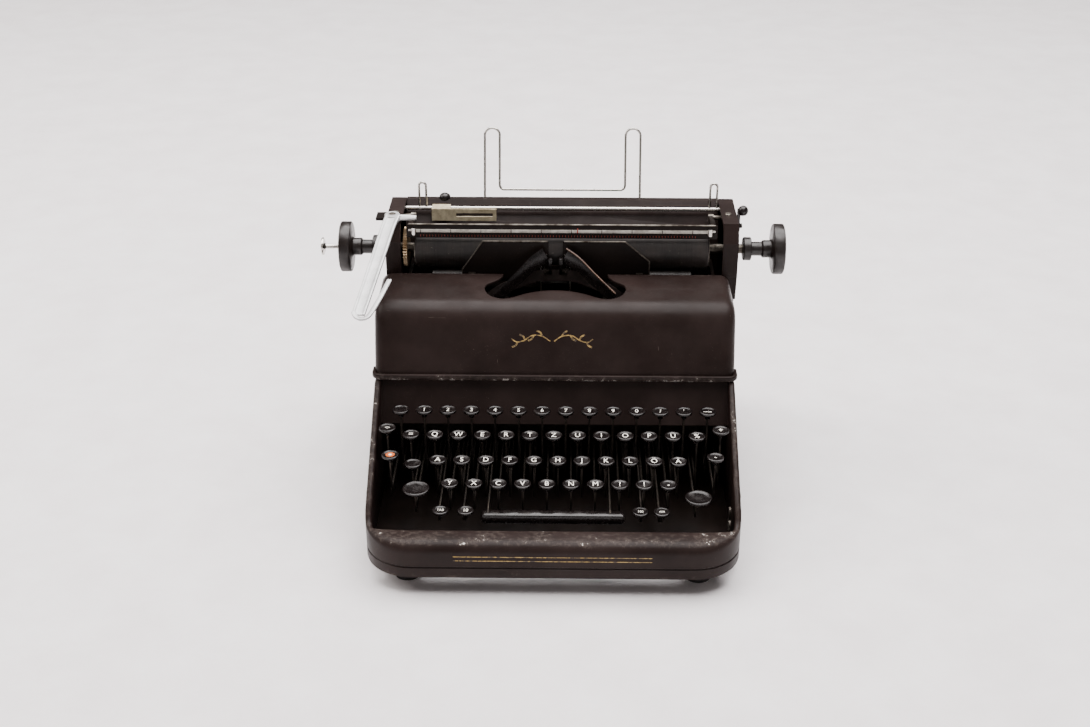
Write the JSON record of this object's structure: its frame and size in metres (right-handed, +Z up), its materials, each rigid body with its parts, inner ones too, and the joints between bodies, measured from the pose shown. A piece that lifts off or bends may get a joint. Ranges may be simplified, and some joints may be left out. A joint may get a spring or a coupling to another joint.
{
  "type": "desk typewriter",
  "caption": "Manual desk typewriter with round keys on levers, a lift-off hood and a sliding carriage with platen, paper bail and return lever.",
  "frame": {"origin": "middle of the four bolt holes in the feet, on the surface that the feet stand on", "axes": "+X along the carriage to the machine's right, +Y from the keyboard to the rear, +Z up"},
  "size_m": [0.395, 0.322, 0.2741],
  "materials": {
    "frame_enamel": "worn satin enamel",
    "key_black": "gloss",
    "steel": "brushed",
    "chrome": "polished",
    "lever_paint": "satin",
    "rubber": "matte",
    "cream": "satin",
    "bronze": "satin"
  },
  "bodies": {
    "chassis": {"base_frame": "frame_enamel", "rubber_feet": "rubber", "frame_screws": "steel", "key_panel": "frame_enamel", "rear_panel": "frame_enamel", "lever_shaft": "steel", "key_comb": "steel", "type_bars": "steel", "type_segment": "steel", "type_guide": "steel", "card_holder": "frame_enamel", "ribbon_cups": "frame_enamel", "carriage_rails": "steel", "bell": "chrome"},
    "number_row": {"caps_number_row": "key_black", "levers_number_row": "steel"},
    "upper_row": {"caps_upper_row": "key_black", "levers_upper_row": "steel"},
    "home_row": {"caps_home_row": "key_black", "levers_home_row": "steel"},
    "lower_row": {"caps_lower_row": "key_black", "levers_lower_row": "steel"},
    "g_key": {"g_key": "key_black"},
    "margin_key": {"margin_key": "key_black"},
    "margin_release_key": {"margin_release_key": "key_black"},
    "blank_key": {"blank_key": "key_black"},
    "shift_lock_key": {"shift_lock_key": "key_black"},
    "tab_key": {"tab_key": "key_black"},
    "tab_key_10": {"tab_key_10": "key_black"},
    "tab_key_100": {"tab_key_100": "key_black"},
    "tab_key_1000": {"tab_key_1000": "key_black"},
    "backspace_key": {"backspace_key": "key_black"},
    "tab_clear_key": {"tab_clear_key": "key_black"},
    "tab_set_key": {"tab_set_key": "key_black"},
    "shift_key_left": {"shift_key_left": "key_black"},
    "shift_key_right": {"shift_key_right": "key_black"},
    "space_bar": {"space_bar": "key_black"},
    "g_type_bar": {"g_type_bar": "steel"},
    "ribbon_vibrator": {"ribbon_vibrator": "steel"},
    "ribbon_selector": {"ribbon_selector": "steel"},
    "ribbon_spool_left": {"ribbon_spool_left": "steel"},
    "ribbon_spool_right": {"ribbon_spool_right": "steel"},
    "hood": {"hood": "frame_enamel"},
    "carriage": {"carriage_bed": "frame_enamel", "carriage_ends": "frame_enamel", "paper_table": "frame_enamel", "paper_rod": "chrome", "paper_support": "chrome"},
    "mainspring_drum": {"mainspring_drum": "steel"},
    "platen": {"platen": "rubber", "platen_knobs": "key_black", "line_ratchet": "bronze"},
    "feed_roller_front": {"feed_roller_front": "rubber"},
    "feed_roller_rear": {"feed_roller_rear": "rubber"},
    "platen_release_pin": {"platen_release_pin": "chrome"},
    "paper_bail": {"paper_bail": "frame_enamel"},
    "paper_side_guide": {"paper_side_guide": "cream"},
    "return_lever": {"return_lever": "lever_paint"},
    "carriage_release_lever": {"carriage_release_lever": "frame_enamel"},
    "paper_release_lever": {"paper_release_lever": "key_black"}
  },
  "joints": [
    {"name": "number_row_press", "type": "hinge", "parent": "chassis", "child": "number_row", "pos_m": [0, 0.068, 0.05], "axis": [1, 0, 0], "range_deg": [0, 5.2], "stiffness_Nm_per_rad": 1.2, "springref_deg": -25.78},
    {"name": "upper_row_press", "type": "hinge", "parent": "chassis", "child": "upper_row", "pos_m": [0, 0.068, 0.05], "axis": [1, 0, 0], "range_deg": [0, 4.8], "stiffness_Nm_per_rad": 1.2, "springref_deg": -25.78},
    {"name": "home_row_press", "type": "hinge", "parent": "chassis", "child": "home_row", "pos_m": [0, 0.068, 0.05], "axis": [1, 0, 0], "range_deg": [0, 4.3], "stiffness_Nm_per_rad": 1.2, "springref_deg": -25.78},
    {"name": "lower_row_press", "type": "hinge", "parent": "chassis", "child": "lower_row", "pos_m": [0, 0.068, 0.05], "axis": [1, 0, 0], "range_deg": [0, 2.9], "stiffness_Nm_per_rad": 1.2, "springref_deg": -25.78},
    {"name": "g_key_press", "type": "hinge", "parent": "chassis", "child": "g_key", "pos_m": [0, 0.068, 0.05], "axis": [1, 0, 0], "range_deg": [0, 4.3], "stiffness_Nm_per_rad": 0.3, "springref_deg": -28.65},
    {"name": "margin_key_press", "type": "hinge", "parent": "chassis", "child": "margin_key", "pos_m": [0, 0.068, 0.05], "axis": [1, 0, 0], "range_deg": [0, 4.8], "stiffness_Nm_per_rad": 0.3, "springref_deg": -28.65},
    {"name": "margin_release_key_press", "type": "hinge", "parent": "chassis", "child": "margin_release_key", "pos_m": [0, 0.068, 0.05], "axis": [1, 0, 0], "range_deg": [0, 4.3], "stiffness_Nm_per_rad": 0.3, "springref_deg": -28.65},
    {"name": "blank_key_press", "type": "hinge", "parent": "chassis", "child": "blank_key", "pos_m": [0, 0.068, 0.05], "axis": [1, 0, 0], "range_deg": [0, 5.2], "stiffness_Nm_per_rad": 0.3, "springref_deg": -28.65},
    {"name": "shift_lock_key_press", "type": "hinge", "parent": "chassis", "child": "shift_lock_key", "pos_m": [0, 0.068, 0.05], "axis": [1, 0, 0], "range_deg": [0, 4], "stiffness_Nm_per_rad": 0.3, "springref_deg": -28.65},
    {"name": "tab_key_press", "type": "hinge", "parent": "chassis", "child": "tab_key", "pos_m": [0, 0.068, 0.05], "axis": [1, 0, 0], "range_deg": [0, 3.6], "stiffness_Nm_per_rad": 0.3, "springref_deg": -28.65},
    {"name": "tab_key_10_press", "type": "hinge", "parent": "chassis", "child": "tab_key_10", "pos_m": [0, 0.068, 0.05], "axis": [1, 0, 0], "range_deg": [0, 3.6], "stiffness_Nm_per_rad": 0.3, "springref_deg": -28.65},
    {"name": "tab_key_100_press", "type": "hinge", "parent": "chassis", "child": "tab_key_100", "pos_m": [0, 0.068, 0.05], "axis": [1, 0, 0], "range_deg": [0, 3.6], "stiffness_Nm_per_rad": 0.3, "springref_deg": -28.65},
    {"name": "tab_key_1000_press", "type": "hinge", "parent": "chassis", "child": "tab_key_1000", "pos_m": [0, 0.068, 0.05], "axis": [1, 0, 0], "range_deg": [0, 3.6], "stiffness_Nm_per_rad": 0.3, "springref_deg": -28.65},
    {"name": "backspace_key_press", "type": "hinge", "parent": "chassis", "child": "backspace_key", "pos_m": [0, 0.068, 0.05], "axis": [1, 0, 0], "range_deg": [0, 5.2], "stiffness_Nm_per_rad": 0.3, "springref_deg": -28.65},
    {"name": "tab_clear_key_press", "type": "hinge", "parent": "chassis", "child": "tab_clear_key", "pos_m": [0, 0.068, 0.05], "axis": [1, 0, 0], "range_deg": [0, 4.3], "stiffness_Nm_per_rad": 0.3, "springref_deg": -28.65},
    {"name": "tab_set_key_press", "type": "hinge", "parent": "chassis", "child": "tab_set_key", "pos_m": [0, 0.068, 0.05], "axis": [1, 0, 0], "range_deg": [0, 4.8], "stiffness_Nm_per_rad": 0.3, "springref_deg": -28.65},
    {"name": "shift_key_left_press", "type": "hinge", "parent": "chassis", "child": "shift_key_left", "pos_m": [0, 0.068, 0.05], "axis": [1, 0, 0], "range_deg": [0, 4], "stiffness_Nm_per_rad": 0.3, "springref_deg": -28.65},
    {"name": "shift_key_right_press", "type": "hinge", "parent": "chassis", "child": "shift_key_right", "pos_m": [0, 0.068, 0.05], "axis": [1, 0, 0], "range_deg": [0, 4], "stiffness_Nm_per_rad": 0.3, "springref_deg": -28.65},
    {"name": "space_bar_press", "type": "hinge", "parent": "chassis", "child": "space_bar", "pos_m": [0, 0.068, 0.05], "axis": [1, 0, 0], "range_deg": [0, 3], "stiffness_Nm_per_rad": 0.6, "springref_deg": -28.65},
    {"name": "g_type_bar_swing", "type": "hinge", "parent": "chassis", "child": "g_type_bar", "pos_m": [0.00804, 0.048, 0.13054], "axis": [0.991, 0, 0.134], "range_deg": [-78, 0]},
    {"name": "ribbon_vibrator_lift", "type": "slide", "parent": "chassis", "child": "ribbon_vibrator", "axis": [0, 0, 1], "range_m": [0, 0.008]},
    {"name": "ribbon_selector_turn", "type": "hinge", "parent": "chassis", "child": "ribbon_selector", "pos_m": [0.138, -0.12, 0.038], "axis": [1, 0, 0], "range_deg": [-15, 15]},
    {"name": "ribbon_spool_left_spin", "type": "hinge", "parent": "chassis", "child": "ribbon_spool_left", "pos_m": [-0.102, 0.014, 0.13], "axis": [0, 0, 1], "continuous": true},
    {"name": "ribbon_spool_right_spin", "type": "hinge", "parent": "chassis", "child": "ribbon_spool_right", "pos_m": [0.102, 0.014, 0.13], "axis": [0, 0, 1], "continuous": true},
    {"name": "hood_slide", "type": "slide", "parent": "chassis", "child": "hood", "axis": [0, -1, 0], "range_m": [0, 0.012]},
    {"name": "carriage_travel", "type": "slide", "parent": "chassis", "child": "carriage", "axis": [-1, 0, 0], "range_m": [-0.094, 0.1]},
    {"name": "mainspring_drum_turn", "type": "hinge", "parent": "chassis", "child": "mainspring_drum", "pos_m": [-0.095, 0.101, 0.13], "axis": [0, 0, 1], "range_deg": [-340, 340]},
    {"name": "platen_turn", "type": "hinge", "parent": "carriage", "child": "platen", "pos_m": [0.005, 0.076, 0.19], "axis": [1, 0, 0], "continuous": true},
    {"name": "feed_roller_front_turn", "type": "hinge", "parent": "carriage", "child": "feed_roller_front", "pos_m": [0.005, 0.063, 0.16888], "axis": [1, 0, 0], "continuous": true},
    {"name": "feed_roller_rear_turn", "type": "hinge", "parent": "carriage", "child": "feed_roller_rear", "pos_m": [0.005, 0.089, 0.16888], "axis": [1, 0, 0], "continuous": true},
    {"name": "platen_release_pin_push", "type": "slide", "parent": "platen", "child": "platen_release_pin", "axis": [1, 0, 0], "range_m": [0, 0.004], "stiffness_N_per_m": 150, "springref_m": -0.01},
    {"name": "paper_bail_lift", "type": "hinge", "parent": "carriage", "child": "paper_bail", "pos_m": [0.005, 0.102, 0.208], "axis": [-1, 0, 0], "range_deg": [0, 70]},
    {"name": "paper_side_guide_slide", "type": "slide", "parent": "carriage", "child": "paper_side_guide", "axis": [1, 0, 0], "range_m": [0, 0.04]},
    {"name": "return_lever_pull", "type": "hinge", "parent": "carriage", "child": "return_lever", "pos_m": [-0.138, 0.068, 0.22], "axis": [0, 0, 1], "range_deg": [0, 35], "stiffness_Nm_per_rad": 0.3, "springref_deg": -17.19},
    {"name": "carriage_release_press", "type": "hinge", "parent": "carriage", "child": "carriage_release_lever", "pos_m": [-0.1456, 0.086, 0.207], "axis": [1, 0, 0], "range_deg": [0, 20], "stiffness_Nm_per_rad": 0.1, "springref_deg": -28.65},
    {"name": "paper_release_pull", "type": "hinge", "parent": "carriage", "child": "paper_release_lever", "pos_m": [0.1556, 0.086, 0.207], "axis": [1, 0, 0], "range_deg": [0, 25], "stiffness_Nm_per_rad": 0.1, "springref_deg": -28.65}
  ],
  "couplings": [
    {"joint": "shift_key_right_press", "follows": "shift_key_left_press", "ratio": 1},
    {"joint": "g_type_bar_swing", "follows": "g_key_press", "ratio": -18},
    {"joint": "ribbon_vibrator_lift", "follows": "g_key_press", "m_per_rad": 0.106},
    {"joint": "ribbon_spool_left_spin", "follows": "ribbon_spool_right_spin", "ratio": 1.727},
    {"joint": "mainspring_drum_turn", "follows": "carriage_travel", "rad_per_m": 58.8},
    {"joint": "feed_roller_front_turn", "follows": "platen_turn", "ratio": -3.0833},
    {"joint": "feed_roller_rear_turn", "follows": "platen_turn", "ratio": -3.0833}
  ]
}
